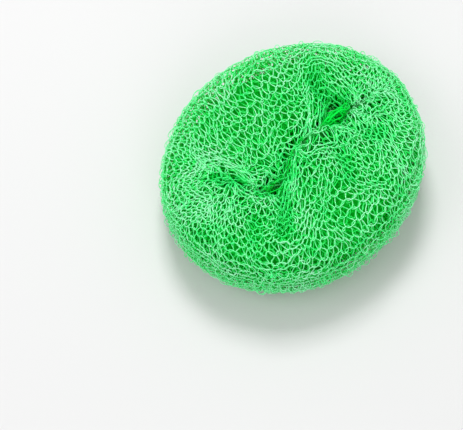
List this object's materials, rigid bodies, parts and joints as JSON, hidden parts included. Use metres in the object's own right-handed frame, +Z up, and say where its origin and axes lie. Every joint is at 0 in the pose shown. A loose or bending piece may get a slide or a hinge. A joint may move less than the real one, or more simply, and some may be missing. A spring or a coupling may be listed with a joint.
{
  "type": "pot scrubber",
  "caption": "Oval scouring pad of green knitted plastic mesh, one tube rolled on itself with its hole gathered to a slit, that springs back when squeezed.",
  "frame": {"origin": "under the middle of the pad, on the surface that it lies on", "axes": "+X along the slit, the long way across; +Y the short way across; +Z up through the pad"},
  "size_m": [0.106, 0.092, 0.0335],
  "materials": {
    "skin_mesh": "translucent knitted filament, satin gloss",
    "inner_mesh": "translucent knitted filament, shaded by the turns above",
    "core_mesh": "knitted filament rolled tight"
  },
  "bodies": {
    "lower_half": {"outer_wrap_bottom": "skin_mesh", "second_wrap_bottom": "inner_mesh", "third_wrap_bottom": "inner_mesh", "fourth_wrap_bottom": "inner_mesh", "core_roll": "core_mesh", "tucked_end": "skin_mesh"},
    "upper_half": {"outer_wrap_top": "skin_mesh", "second_wrap_top": "inner_mesh", "third_wrap_top": "inner_mesh", "fourth_wrap_top": "inner_mesh"}
  },
  "joints": [
    {"name": "squeeze", "type": "slide", "parent": "lower_half", "child": "upper_half", "axis": [0, 0, 1], "range_m": [-0.012, 0], "stiffness_N_per_m": 550, "deforming": ["outer_wrap_top", "second_wrap_top", "third_wrap_top", "fourth_wrap_top", "outer_wrap_bottom", "second_wrap_bottom", "third_wrap_bottom", "fourth_wrap_bottom", "core_roll", "tucked_end"]}
  ]
}
